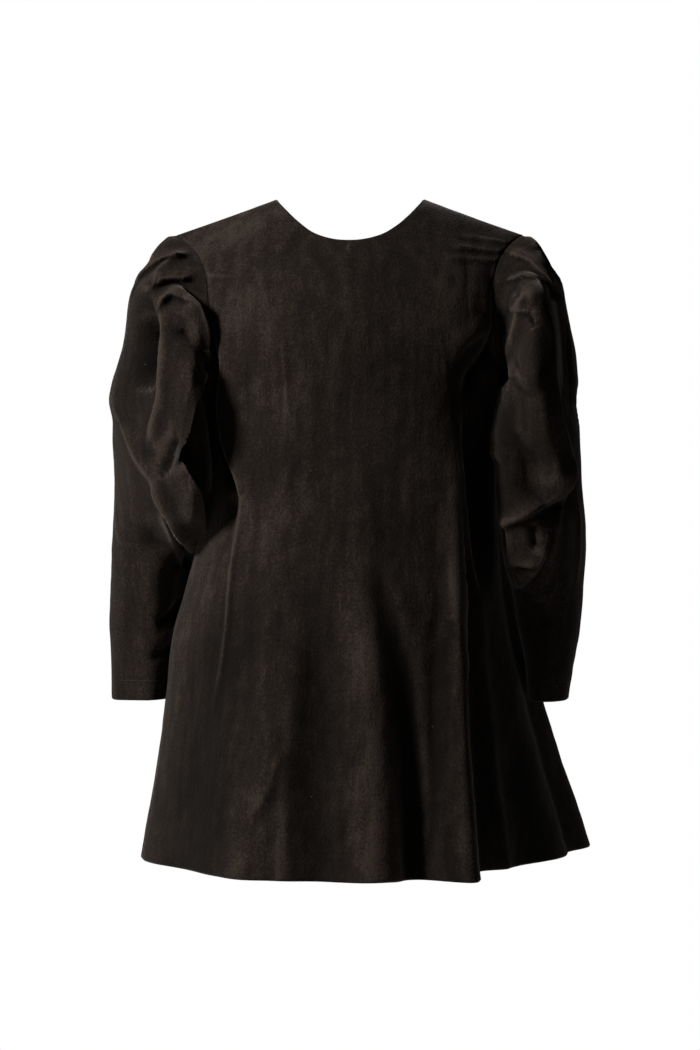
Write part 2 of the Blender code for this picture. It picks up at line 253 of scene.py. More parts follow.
def sleevePoint(hand, down, around):
    seam = armhole(hand, around) + np.array([hand * coatBody["seamGap"], 0, 0])
    rings = [seam] + [sleeveRing(hand, ring, around) for ring in sleeveRings[hand]]
    return flow(np.arange(len(rings)), np.array(rings), down)


# A fold follows its route, in mm across and down from the neck points. left and right are how far
# it spreads on each hand of someone walking the route, seen from outside. lean tips its crest to the
# left hand, tone paints light (above 0) and shade (below 0) into the cloth's colour, and start and end are
# the shares kept at its ends.
Fold = namedtuple("Fold", "rise left right lean tone start end route")
foldShape = dict(
    step=2.0,  # mm along the route
    reach=3,  # how many widths away it still counts
    handBlend=0.8,  # how sharply its two hands part
    crispWidth=7.0,  # narrower folds have sharper crests
    crispPower=1.4,
    softPower=0.6,  # what broad folds add to that
    taper=0.35,  # share of the route at each end
)
ripples = dict(broadRise=0.5, broadSize=90, fineRise=0.15, fineSize=24)  # small unevenness all over


def gridNormal(points, closed, outward):
    if closed:
        across = np.roll(points, -1, axis=1) - np.roll(points, 1, axis=1)
    else:
        across = np.gradient(points, axis=1)
    return unit(outward * np.cross(across, np.gradient(points, axis=0)))


def edgeDistance(points):  # how far each point is from the two side edges of its row
    steps = np.linalg.norm(np.diff(points, axis=1), axis=2)
    fromFirst = np.concatenate([np.zeros((len(points), 1)), np.cumsum(steps, axis=1)], axis=1)
    return fromFirst, fromFirst[:, -1:] - fromFirst


def smoothRoute(points):
    points = np.array(points, float)
    knots = np.concatenate([[0], np.cumsum(np.linalg.norm(np.diff(points, axis=0), axis=1))])
    return flow(knots, points, np.linspace(0, knots[-1], max(int(knots[-1] / foldShape["step"]), 8)))


def layFold(rest, normal, chart, pool, fold, move, tone):
    route = smoothRoute(fold.route)
    nearest = np.array([pool[np.argmin(((chart[pool] - place) ** 2).sum(1))] for place in route])
    line, facing = rest[nearest], normal[nearest]
    for _ in range(int(np.clip(len(route) / 3, 8, 30))):
        line[1:-1] = (line[:-2] + 2 * line[1:-1] + line[2:]) / 4
        facing[1:-1] = (facing[:-2] + 2 * facing[1:-1] + facing[2:]) / 4
    facing = unit(facing)
    leftHand = unit(np.cross(facing, np.gradient(line, axis=0)))
    reach = foldShape["reach"] * max(fold.left, fold.right) * mm
    inBox = (rest > line.min(0) - reach) & (rest < line.max(0) + reach)
    close = np.flatnonzero(inBox.all(1))
    away = rest[close][:, None] - line[None]
    best = (away**2).sum(2).argmin(1)
    off = away[np.arange(len(close)), best]
    far = np.linalg.norm(off, axis=1)
    toLeft = (off * leftHand[best]).sum(1) / np.maximum(far, 1e-9)
    onLeft = smoothStep(0.5 + foldShape["handBlend"] * toLeft)
    width = (fold.right + (fold.left - fold.right) * onLeft) * mm
    broad = smoothStep((width / mm - foldShape["crispWidth"]) / 2)
    power = foldShape["crispPower"] + foldShape["softPower"] * broad
    shape = np.exp(-((far / width) ** power))
    shape *= np.clip(2 * (normal[close] * facing[best]).sum(1), 0, 1)  # not the cloth behind
    along = np.linspace(0, 1, len(line))[best]
    taper = fold.start + (1 - fold.start) * smoothStep(along / foldShape["taper"])
    ending = fold.end + (1 - fold.end) * smoothStep((1 - along) / foldShape["taper"])
    taper = np.minimum(taper, ending)
    amount = (shape * taper)[:, None]
    move[close] += amount * mm * (fold.rise * normal[close] + fold.lean * leftHand[best])
    # the fold's painted light and shade, carried on to the cloth's colour
    tone[close] += fold.tone * amount[:, 0]


def layFolds(rest, normal, foldLists, seamMask, seed):
    # foldLists pairs a list of folds with the vertices that its routes may run over
    shape = rest.shape[:2]
    flatRest = rest.reshape(-1, 3)
    flatNormal = normal.reshape(-1, 3)
    chart = np.stack([flatRest[:, 0], -flatRest[:, 2]], axis=1) / mm
    move = np.zeros_like(flatRest)
    tone = np.zeros(len(flatRest))
    for folds, pool in foldLists:
        for fold in folds:
            layFold(flatRest, flatNormal, chart, pool, fold, move, tone)
    ripple = ripples["broadRise"] * unevenness(flatRest / mm, ripples["broadSize"], seed)
    ripple = ripple + ripples["fineRise"] * unevenness(flatRest / mm, ripples["fineSize"], seed + 1)
    move += (mm * ripple)[:, None] * flatNormal
    move *= seamMask.reshape(-1, 1)
    return (flatRest + move).reshape(*shape, 3), tone.reshape(shape)


clothWall = 1.6 * mm
turnedWall = 1.3 * mm  # what a turned edge adds
edgeBulge = dict(open=0.5, armhole=0.5, bodySeam=0.14)  # how far edges round out, as shares of the wall
seamShape = dict(fade=7, shoulderFade=14, dipWidth=2.5, shoulderDipWidth=3, turnBlend=3)  # in mm


def gridQuads(grid):
    corners = [grid[:-1, :-1], grid[1:, :-1], grid[1:, 1:], grid[:-1, 1:]]
    return np.stack(corners, axis=-1).reshape(-1, 4)


def ridgeHeight(points, normal, closed):  # how far each point stands over the cloth round it, in mm
    step = 2
    wide = np.pad(points, ((step, step), (0, 0), (0, 0)), mode="reflect", reflect_type="odd")
    roundAbout = wide[: -2 * step] + wide[2 * step :]
    if closed:
        roundAbout = roundAbout + np.roll(points, step, axis=1) + np.roll(points, -step, axis=1)
    else:
        wide = np.pad(points, ((0, 0), (step, step), (0, 0)), mode="reflect", reflect_type="odd")
        roundAbout = roundAbout + wide[:, : -2 * step] + wide[:, 2 * step :]
    return ((points - roundAbout / 4) * normal).sum(2) / mm


def sewShell(name, outside, normal, closed, tone, wall, outward):
    # the outside, the reverse side under it at half the fineness, and round edges between them
    rows, columns = outside.shape[:2]
    inside = outside - wall[..., None] * normal
    ridge = np.clip(ridgeHeight(outside, normal, closed), -1, 1)
    over = np.arange(rows * columns).reshape(rows, columns)
    if closed:
        over = np.concatenate([over, over[:, :1]], axis=1)
    coarse = over[::2, :columns:2]
    under = rows * columns + np.arange(coarse.size).reshape(coarse.shape)
    if closed:
        under = np.concatenate([under, under[:, :1]], axis=1)
    flatOut = outside.reshape(-1, 3)
    flatIn = inside.reshape(-1, 3)
    points = [flatOut, flatIn[coarse.ravel()]]
    source = [np.arange(rows * columns), coarse.ravel()]
    faces = gridQuads(over).tolist() + gridQuads(under[:, ::-1]).tolist()
    onReverse = np.arange(len(faces)) >= gridQuads(over).shape[0]
    seamBulge = edgeBulge["armhole"] if closed else edgeBulge["bodySeam"]  # just enough to close a seam
    edges = [
        (over[0], under[0], over[3], 1, seamBulge),
        (over[-1], under[-1], over[-4], -1, edgeBulge["open"]),
    ]
    if not closed:
        edges += [
            (over[:, 0], under[:, 0], over[:, 3], -1, seamBulge),
            (over[:, -1], under[:, -1], over[:, -4], 1, seamBulge),
        ]
    start = rows * columns + coarse.size
    for border, lining, beside, turn, bulge in edges:
        beyond = unit(flatOut[border] - flatOut[beside])
        middle = (flatOut[border] + flatIn[border]) / 2 + bulge * wall.ravel()[border][:, None] * beyond
        own = start + np.arange(len(border))
        if closed:
            middle = middle[:-1]
            own[-1] = own[0]
        points.append(middle)
        source.append(border[: len(middle)])
        start += len(middle)
        rim = np.stack([lining[:-1], own[:-2:2], own[1:-1:2], own[2::2], lining[1:]], axis=1)
        faces += gridQuads(np.stack([own, border])[::turn]).tolist() + rim[:, ::turn].tolist()
    onReverse = np.append(onReverse, np.zeros(len(faces) - len(onReverse), bool))
    if outward > 0:
        faces = [face[::-1] for face in faces]
    mesh = bpy.data.meshes.new(name)
    mesh.from_pydata(np.concatenate(points).tolist(), [], faces)
    mesh.shade_smooth()
    mesh.polygons.foreach_set("material_index", onReverse.astype(np.int32))
    source = np.concatenate(source)
    # the folds' painted light and shade, and ridge height, which the velvet paints lighter on ridges and
    # darker in hollows
    for label, values in (("paintedShading", tone), ("ridge", ridge)):
        layer = mesh.attributes.new(label, "FLOAT", "POINT")
        layer.data.foreach_set("value", values.ravel()[source].astype(np.float32))
    piece = bpy.data.objects.new(name, mesh)
    bpy.context.scene.collection.objects.link(piece)
    return piece


# The back, which the photo shows
coatBack = dict(
    upperRows=101,
    skirtRows=186,
    neckColumns=54,
    shoulderColumns=77,
    seamDip=0.3,
    hemTurn=25,
    seed=2,
    flat=(0.80, 0.81),
    area=0.408,
    folds=[
        # the long edge where the skirt turns away to the right
        Fold(8, 5, 34, 3, 0, 0.2, 0.1,
             [(105, 205), (111, 277), (115, 346), (118, 411), (122, 497), (124, 602)]),
        # the valley beside it, and the soft flutes further left; the two valleys carry painted shade and the
        # crest between them a painted highlight
        Fold(-3, 9, 20, 0, -0.2, 0, 1, [(12, 375), (26, 420), (42, 462), (57, 512), (66, 581), (71, 752)]),
        Fold(6, 20, 26, 0, 0.1, 0, 1, [(2, 380), (20, 500), (33, 620), (36, 752)]),
        Fold(-1.5, 26, 26, 0, -0.2, 0, 1, [(-30, 390), (-36, 500), (-34, 640), (-30, 752)]),
        Fold(6, 18, 26, 0, 0, 0, 0.7, [(-52, 420), (-64, 520), (-72, 620), (-76, 752)]),
        Fold(4, 8, 22, 0, 0, 0, 0, [(-72, 600), (-86, 648), (-100, 675), (-122, 690)]),
        # a thin pinched line down the left of the skirt
        Fold(3.2, 4, 4, 0, 0, 0.3, 0, [(-117, 344), (-129, 411), (-137, 505), (-145, 550), (-153, 600)]),
        # the cloth falls back beyond the long edge, under a ragged line of drag folds from the armhole
        Fold(-15, 24, 8, 0, 0, 0.1, 0, [(127, 222), (133, 280), (140, 350), (146, 410), (150, 470)]),
        Fold(5, 6, 18, 0, 0, 0.3, 0, [(176, 118), (152, 156), (128, 172), (112, 196), (96, 214)]),
        Fold(-8, 14, 8, 0, 0, 0.3, 0, [(172, 150), (150, 186), (134, 208), (128, 250)]),
        # where the cloth turns in under the left arm
        Fold(-13, 7, 10, 0, 0, 0.1, 0.1,
             [(-154, 150), (-151, 196), (-153, 240), (-148, 284), (-129, 350), (-136, 398)]),
        Fold(7, 24, 5, 0, 0, 0, 0.2,
             [(-146, 152), (-143, 190), (-145, 236), (-140, 279), (-119, 345), (-126, 398)]),
        # pulls at the armholes
        Fold(1.3, 4, 4, 0, 0, 0, 0.6, [(112, 46), (150, 49), (184, 52)]),
        Fold(1.5, 4, 4, 0, 0, 0, 0.6, [(100, 60), (145, 62), (186, 64)]),
        Fold(1.3, 4, 5, 0, 0, 0, 0.6, [(98, 73), (140, 74), (185, 75)]),
        Fold(2.0, 5, 6, 0, 0, 0.6, 0, [(-184, 90), (-160, 93), (-126, 96)]),
        # painted light over the left shoulder and high on the right; painted shade down the left of the skirt
        # and over the right of the back and skirt, which turns from the lamp
        Fold(0, 32, 26, 0, 0.3, 1, 0.4, [(-190, 62), (-140, 42), (-95, 24)]),
        Fold(0, 54, 50, 0, -0.55, 0, 1, [(-112, 400), (-150, 580), (-172, 752)]),
        Fold(0, 34, 34, 0, -0.12, 0, 1, [(92, 440), (104, 752)]),
        Fold(0, 36, 36, 0, -0.5, 0.6, 0.5, [(148, 225), (153, 320), (160, 420)]),
        Fold(0, 58, 58, 0, -0.6, 0.3, 1, [(166, 440), (184, 600), (198, 752)]),
        Fold(0, 16, 22, 0, -0.5, 0, 1, [(112, 420), (121, 560), (124, 752)]),
        Fold(0, 36, 36, 0, 0.5, 0.7, 0.2, [(128, 92), (124, 130), (104, 180)]),
        # a small pulled thread below the neck, and a faint line
        Fold(0.5, 2, 2, 0, 0.5, 0.5, 0.5, [(0, 60), (-3, 64), (-1, 69)]),
        Fold(0.9, 3, 3, 0, 0, 0, 0, [(-77, 160), (-71, 215), (-69, 280)]),
    ],
)


def makeBack():
    half = halfColumns(coatBack["neckColumns"], coatBack["shoulderColumns"])
    rows = bodyRows(coatBack["upperRows"], coatBack["skirtRows"])
    across, down = np.meshgrid(np.concatenate([-half[:0:-1], half]), rows)
    rest = bodyPoint(-1, across, down)
    return finishBody("coatBack", "back", -1, rest, coatBack)


def finishBody(name, node, side, rest, values):
    normal = gridNormal(rest, False, side)
    fromLeft, fromRight = edgeDistance(rest)
    nearSeam = np.minimum(fromLeft, fromRight)
    if side > 0:
        nearSeam = fromLeft if rest[0, 0, 0] < 0 else fromRight
    fromTop = np.cumsum(np.linalg.norm(np.diff(rest, axis=0, prepend=rest[:1]), axis=2), axis=0)
    pastNeck = np.abs(rest[0, :, 0]) - coatBody["neckHalfWidth"]
    onShoulder = smoothStep(pastNeck / (seamShape["shoulderFade"] * mm) + 1)
    fade = seamShape["fade"] * mm
    mask = smoothStep(nearSeam / fade) * (1 - onShoulder * (1 - smoothStep(fromTop / fade)))
    everywhere = np.arange(rest[..., 0].size)
    shaped, tone = layFolds(rest, normal, [(values["folds"], everywhere)], mask, values["seed"])
    dip = values["seamDip"] * np.exp(-((nearSeam / (seamShape["dipWidth"] * mm)) ** 2))
    shoulderDip = onShoulder * np.exp(-((fromTop / (seamShape["shoulderDipWidth"] * mm)) ** 2))
    dip = np.maximum(dip, values["seamDip"] * shoulderDip)
    turned = smoothStep((values["hemTurn"] * mm - (fromTop[-1] - fromTop)) / (seamShape["turnBlend"] * mm))
    if side > 0:
        fromEdge = np.maximum(fromLeft, fromRight).max(1, keepdims=True) - nearSeam
        roll = np.exp(-((fromEdge / (values["rollWidth"] * mm)) ** 2))
        dip = np.maximum(dip, values["edgeRoll"] * roll)
        edgeTurn = smoothStep((values["edgeTurn"] * mm - fromEdge) / (seamShape["turnBlend"] * mm))
        turned = np.maximum(turned, edgeTurn)
    shaped = shaped - (mm * dip)[..., None] * normal
    wall = clothWall + turnedWall * turned
    piece = sewShell(name, shaped, gridNormal(shaped, False, side), False, tone, wall, side)
    return dressPiece(piece, node)


def dressPiece(piece, node):
    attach(piece, "root")
    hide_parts(node)
    print("made", piece.name, len(piece.data.polygons) * 2, "triangles")
    return piece


# The two fronts, which the photo hides, meeting edge to edge
coatFronts = dict(
    upperRows=91,
    skirtRows=150,
    neckColumns=48,
    shoulderColumns=69,
    openAtHem=0.0003,
    edgeRoll=1.5,
    rollWidth=2.4,
    edgeTurn=20,
    buttonBelowNeck=0.012,
    seamDip=0.3,
    hemTurn=25,
    seed=4,
    flat={-1: (0.40, 0.80), 1: (0.43, 0.81)},
    area={-1: 0.193, 1: 0.203},
    folds={
        -1: [
            Fold(6, 22, 16, 0, 0, 0, 1, [(-60, 380), (-74, 520), (-80, 640), (-84, 752)]),
            Fold(-6, 18, 14, 0, 0, 0, 1, [(-104, 400), (-118, 520), (-126, 640), (-130, 752)]),
            Fold(1.6, 5, 6, 0, 0, 0.6, 0, [(-184, 92), (-160, 97), (-130, 104)]),
            Fold(5, 6, 22, 0, 0, 0, 0.2, [(-146, 160), (-142, 215), (-146, 275), (-128, 350)]),
            Fold(1.0, 3, 3, 0, 0, 0, 0, [(-60, 190), (-66, 260), (-64, 330)]),
        ],
        1: [
            Fold(7, 14, 22, 0, 0, 0, 1, [(48, 370), (62, 500), (70, 640), (74, 752)]),
            Fold(-6, 16, 18, 0, 0, 0, 1, [(96, 400), (112, 520), (118, 640), (122, 752)]),
            Fold(1.4, 5, 5, 0, 0, 0.6, 0, [(184, 78), (160, 82), (124, 84)]),
            Fold(1.6, 5, 6, 0, 0, 0.6, 0, [(184, 94), (158, 100), (132, 108)]),
            Fold(5, 22, 6, 0, 0, 0, 0.2, [(142, 165), (138, 220), (140, 280), (124, 356)]),
        ],
    },
)


def makeFront(name, node, hand):
    down = bodyRows(coatFronts["upperRows"], coatFronts["skirtRows"])
    middle = bodyPoint(1, 0, down)
    below = -middle[:, 2] - coatBody["neckDrop"][1] - coatFronts["buttonBelowNeck"]
    gap = coatBody["seamGap"] + coatFronts["openAtHem"] * np.clip(below, 0, None) / coatBody["hemDrop"]
    edge = (gap / 2 / (middle[:, 1] * np.pi / 2))[:, None]
    half = halfColumns(coatFronts["neckColumns"], coatFronts["shoulderColumns"])
    across = edge + (1 - edge) * half
    across = across if hand > 0 else -across[:, ::-1]
    rest = bodyPoint(1, across, np.broadcast_to(down[:, None], across.shape))
    own = {key: coatFronts[key][hand] for key in ("flat", "area", "folds")}
    return finishBody(name, node, 1, rest, {**coatFronts, **own})


# The sleeves. A lobe pushes out the cloth along a route of places so far out and down, by mm outward,
# forward and up: side 1 behind, where the photo looks, -1 before and 0 all round. near holds the folds
# that the photo shows, far those on the hidden side.
Lobe = namedtuple("Lobe", "inward outward side push route")
coatSleeves = dict(
    around=284,
    down=251,
    seamDip=0.3,
    seamFade=4,
    cuffTurn=22,
    clear=2.5,
    clearFade=20,  # mm below the armpit
    lobeFade=12,  # mm from the armhole
    lobeFlat=1.25,  # how broad a lobe's top is
    sideFade=0.4,  # how softly a lobe keeps to its side
    poolOverlap=0.05,  # how far near and far folds may pass the edges of the sleeve
    seed={-1: 19, 1: 21},
    flat={-1: (0.57, 0.58), 1: (0.60, 0.60)},
    area={-1: 0.210, 1: 0.197},
    lobes={
        -1: [
            Lobe(11, 42, 1, (-20, -28, 0),
                 [(184, 136), (178, 158), (179, 185), (184, 212), (191, 245), (198, 275)]),
            Lobe(14, 40, 1, (-17, -24, 0), [(196, 318), (184, 338), (180, 358), (184, 388)]),
            Lobe(16, 48, 1, (-2, -14, 0), [(206, 430), (210, 480), (213, 572)]),
            Lobe(40, 40, 0, (8, 0, 0), [(246, 112), (254, 170), (260, 220)]),
            Lobe(16, 30, 0, (4, 0, 4), [(205, 48), (218, 62)]),
            Lobe(24, 44, -1, (-3, 12, 0), [(200, 150), (196, 210), (204, 290), (222, 330)]),
            Lobe(16, 18, 0, (-6, 0, 0), [(173, 224), (169, 250), (165, 290), (165, 330)]),
            Lobe(60, 60, 1, (0, 10, 0), [(215, 150), (215, 350)]),
        ],
        1: [
            Lobe(10, 32, 1, (-2, -12, 0), [(192, 126), (188, 150), (186, 180), (189, 205)]),
            Lobe(16, 40, 1, (-2, -8, 0), [(191, 122), (187, 180), (190, 220), (194, 264)]),
            Lobe(50, 13, 1, (2, -36, 0),
                 [(214, 126), (219, 170), (222, 224), (232, 270), (241, 296), (243, 314)]),
            Lobe(40, 40, 0, (8, 0, 0), [(238, 100), (246, 150), (250, 200)]),
            Lobe(16, 30, 0, (3, 0, 4), [(205, 46), (216, 60)]),
            Lobe(24, 44, -1, (-3, 12, 0), [(200, 140), (194, 205), (200, 280), (216, 326)]),
            Lobe(16, 18, 0, (-6, 0, 0), [(173, 224), (168, 250), (166, 290)]),
            Lobe(60, 60, 1, (0, 16, 0), [(215, 150), (220, 320)]),
        ],
    },
    near={
        -1: [
            # knife pleats stacked down the armhole, and painted shade round the outside of the sleeve
            Fold(0, 34, 34, 0, -0.42, 0.5, 0.3, [(-240, 120), (-250, 190), (-256, 270)]),
            Fold(7, 3, 14, 3, 0, 0.8, 0.3, [(-197, 71), (-212, 75), (-228, 85), (-240, 98), (-246, 107)]),
            Fold(5, 8, 6, 0, 0, 0.8, 0.3, [(-197, 71), (-212, 85), (-223, 107)]),
            Fold(7, 3, 12, 3, 0, 0.8, 0.3, [(-188, 98), (-201, 97), (-215, 102), (-223, 108)]),
            Fold(7, 3, 12, 3, 0, 0.8, 0.3, [(-184, 119), (-198, 114), (-207, 122), (-217, 133)]),
            Fold(-8, 5, 5, 0, 0, 0.8, 0.3, [(-188, 119), (-175, 127), (-164, 137)]),
            # the long ridge and the hollow beside it, with painted shade in the hollow
            Fold(9, 14, 4, 0, 0, 0.2, 0,
                 [(-223, 116), (-212, 139), (-208, 175), (-208, 206), (-210, 240), (-220, 266), (-226, 296)]),
            Fold(-24, 6, 18, 0, -0.55, 0.3, 0, [(-222, 130), (-219, 160), (-218, 192), (-220, 226)]),
            Fold(0, 12, 15, 0, -0.9, 0, 0, [(-227, 134), (-229, 180), (-226, 226)]),
            # the inner lobe, the valley under it and the lower lobe
            Fold(4, 7, 16, 0, 0, 0.4, 0.3,
                 [(-182, 142), (-168, 158), (-164, 178), (-170, 207), (-178, 234)]),
            Fold(-3, 5, 5, 0, 0, 0, 0, [(-188, 152), (-180, 166), (-176, 176)]),
            Fold(-9, 7, 9, 0, 0, 0.3, 0, [(-187, 272), (-194, 285), (-203, 305), (-211, 322)]),
            Fold(4, 7, 16, 0, 0, 0.3, 0.4, [(-178, 314), (-172, 340), (-174, 366), (-178, 384)]),
            # the thin diagonal line from the elbow, and the tip that hangs over the forearm
            Fold(5, 16, 5, 0, 0, 0.6, 0.4,
                 [(-266, 241), (-252, 269), (-240, 296), (-218, 330), (-217, 337)]),
            Fold(8, 12, 3, -3, 0, 0.5, 0.6,
                 [(-217, 337), (-211, 347), (-198, 365), (-189, 384), (-179, 405)]),
            Fold(4, 6, 6, 0, 0, 0, 0, [(-218, 333), (-207, 364), (-198, 393), (-194, 413), (-189, 446)]),
            Fold(-9, 6, 6, 0, 0, 0, 0, [(-196, 378), (-185, 418), (-183, 446)]),
            # the forearm
            Fold(2.5, 5, 5, 0, 0, 0, 0, [(-269, 350), (-264, 379), (-261, 401)]),
            Fold(-5, 7, 7, 0, 0, 0.3, 0, [(-192, 458), (-206, 478), (-222, 492)]),
            Fold(3, 8, 8, 0, 0, 0.3, 0, [(-192, 478), (-208, 498), (-226, 510)]),
            Fold(-3.5, 8, 8, 0, 0, 0.3, 0, [(-197, 503), (-215, 520), (-234, 528)]),
        ],
        1: [
            Fold(7, 14, 3, -3, 0, 0.8, 0.3, [(190, 69), (203, 76), (215, 91), (229, 107), (240, 115)]),
            Fold(3, 6, 6, 0, 0, 0.3, 0.3, [(215, 70), (234, 93), (244, 107)]),
            Fold(6, 10, 3, -3, 0, 0.8, 0.3, [(184, 98), (192, 95), (200, 96), (211, 103)]),
            Fold(5, 8, 3, -2, 0, 0.8, 0.3, [(182, 133), (192, 135), (201, 139)]),
            Fold(-8, 4, 4, 0, 0, 0.3, 0, [(196, 143), (199, 149), (203, 157)]),
            # the lobe, with painted shade towards the body and down its middle, and the edge past which the
            # sleeve turns away, with painted shade in the valley beyond it
            Fold(0, 18, 14, 0, -0.6, 0.3, 0.6, [(176, 205), (172, 250), (170, 300), (172, 350)]),
            Fold(0, 26, 26, 0, -0.25, 0.6, 0.6, [(200, 130), (202, 200), (204, 290)]),
            Fold(7, 5, 20, 0, 0, 0.3, 0.5,
                 [(209, 103), (214, 122), (220, 156), (222, 190), (224, 220),
                  (231, 258), (242, 288), (246, 309)]),
            Fold(-5, 6, 12, 0, -0.25, 0.2, 0, [(240, 130), (247, 175), (250, 232), (254, 268)]),
            Fold(4, 14, 7, 0, 0, 0.4, 0,
                 [(190, 122), (182, 150), (178, 176), (180, 206), (176, 236), (174, 270)]),
            Fold(5, 5, 7, 0, 0, 0.5, 0, [(200, 46), (208, 52), (214, 62)]),
            Fold(5, 7, 7, 0, 0, 0.3, 0.3, [(177, 158), (176, 170), (178, 178)]),
            Fold(-5, 6, 6, 0, 0, 0.3, 0.3, [(183, 190), (182, 198), (186, 204)]),
            Fold(4, 8, 8, 0, 0, 0.3, 0.3, [(174, 218), (173, 226), (176, 236)]),
            # the lower edge of the puff and the tip that hangs from it, with painted highlights along two of
            # its edges
            Fold(8, 4, 16, 2, 0, 0.2, 0.8, [(249, 307), (237, 333), (215, 350), (192, 364), (175, 371)]),
            Fold(4, 8, 8, 0, 0, 0.4, 0.4, [(186, 418), (193, 428), (195, 440)]),
            Fold(5, 3, 9, 2, 0.2, 0.4, 0.6, [(207, 413), (195, 414), (181, 411)]),
            Fold(-5, 5, 6, 0, 0, 0, 0, [(203, 368), (204, 385), (206, 404)]),
            Fold(6, 9, 3, 0, 0.3, 0.5, 0.5, [(174, 368), (177, 390), (181, 411), (192, 437)]),
            Fold(6, 3, 12, 3, 0, 0.4, 0.6, [(212, 409), (203, 424), (192, 439)]),
            Fold(4, 4, 8, 0, 0, 0.3, 0.4, [(220, 379), (215, 396), (210, 413)]),
            # thin lines on the dark outer side
            Fold(3, 4, 4, 0, 0, 0, 0, [(249, 153), (252, 206), (258, 240), (264, 300)]),
            Fold(2.5, 4, 4, 0, 0, 0, 0, [(237, 119), (244, 164), (246, 220), (254, 277)]),
            Fold(3.5, 5, 6, 0, 0, 0.2, 0, [(252, 280), (240, 333), (229, 375), (223, 409), (215, 436)]),
            Fold(2.5, 7, 7, 0, 0, 0, 0, [(254, 322), (258, 390), (254, 458)]),
            Fold(-3, 8, 8, 0, 0, 0.2, 0, [(206, 452), (216, 478), (230, 492)]),
        ],
    },
    far={
        -1: [
            Fold(7, 14, 3, -3, 0, 0.8, 0.3, [(-196, 72), (-212, 79), (-228, 92), (-240, 110)]),
            Fold(7, 12, 3, -3, 0, 0.8, 0.3, [(-188, 100), (-204, 104), (-220, 120)]),
            Fold(6, 10, 3, -3, 0, 0.8, 0.3, [(-184, 126), (-198, 130), (-212, 148)]),
            Fold(7, 6, 16, 0, 0, 0.2, 0, [(-222, 126), (-216, 170), (-216, 220), (-226, 280)]),
            Fold(-10, 14, 10, 0, 0, 0.2, 0, [(-234, 150), (-238, 200), (-234, 246)]),
            Fold(7, 14, 14, 0, 0, 0.3, 0.3, [(-192, 170), (-190, 215), (-194, 256)]),
            Fold(6, 6, 14, 0, 0, 0.4, 0.4, [(-262, 262), (-240, 306), (-214, 342), (-196, 366)]),
            Fold(-6, 8, 8, 0, 0, 0.3, 0, [(-190, 392), (-206, 420), (-230, 436)]),
            Fold(-4, 8, 8, 0, 0, 0.3, 0, [(-196, 452), (-216, 474), (-238, 484)]),
        ],
        1: [
            Fold(7, 3, 14, 3, 0, 0.8, 0.3, [(190, 70), (206, 78), (222, 94), (234, 114)]),
            Fold(7, 3, 12, 3, 0, 0.8, 0.3, [(186, 98), (202, 104), (216, 122)]),
            Fold(6, 3, 10, 3, 0, 0.8, 0.3, [(183, 128), (196, 134), (208, 152)]),
            Fold(7, 16, 6, 0, 0, 0.2, 0, [(218, 130), (212, 176), (214, 226), (226, 290)]),
            Fold(-10, 10, 14, 0, 0, 0.2, 0, [(232, 150), (236, 206), (232, 252)]),
            Fold(7, 14, 14, 0, 0, 0.3, 0.3, [(192, 172), (189, 220), (194, 262)]),
            Fold(6, 14, 6, 0, 0, 0.4, 0.4, [(258, 270), (238, 312), (212, 348), (192, 372)]),
            Fold(-6, 8, 8, 0, 0, 0.3, 0, [(188, 400), (204, 424), (226, 440)]),
            Fold(-4, 8, 8, 0, 0, 0.3, 0, [(196, 462), (214, 482), (234, 490)]),
        ],
    },
)


def pushLobes(rest, hand, behind, fromSeam):
    chart = np.stack([hand * rest[..., 0], -rest[..., 2]], axis=-1) / mm
    moved = rest.copy()
    for lobe in coatSleeves["lobes"][hand]:
        off = np.full(chart.shape, 1e6)
        for place in smoothRoute(lobe.route):
            nearer = ((chart - place) ** 2).sum(-1) < (off**2).sum(-1)
            off = np.where(nearer[..., None], chart - place, off)
        far = np.linalg.norm(off, axis=-1)
        side = smoothStep(0.5 + foldShape["handBlend"] * off[..., 0] / np.maximum(far, 1e-9))
        far = far / (lobe.inward + (lobe.outward - lobe.inward) * side)
        share = smoothStep(coatSleeves["lobeFlat"] * (1 - far))
        share = share * smoothStep(fromSeam / (coatSleeves["lobeFade"] * mm))
        if lobe.side:
            share = share * smoothStep(0.5 + lobe.side * behind / coatSleeves["sideFade"])
        moved += mm * share[..., None] * np.array([hand * lobe.push[0], *lobe.push[1:]])
    return moved


def keepClear(points):  # below the armpit a sleeve lies just clear of the body
    angle = np.arctan2(points[..., 0], -points[..., 1])
    have = np.hypot(points[..., 0], points[..., 1])
    need = bodyRadius(angle, -points[..., 2]) + coatSleeves["clear"] * mm
    belowArmpit = -points[..., 2] - coatBody["armpitDrop"]
    below = smoothStep(belowArmpit / (coatSleeves["clearFade"] * mm))
    grow = 1 + below * np.maximum(need / have - 1, 0)
    return points * np.stack([grow, grow, np.ones_like(grow)], axis=-1)


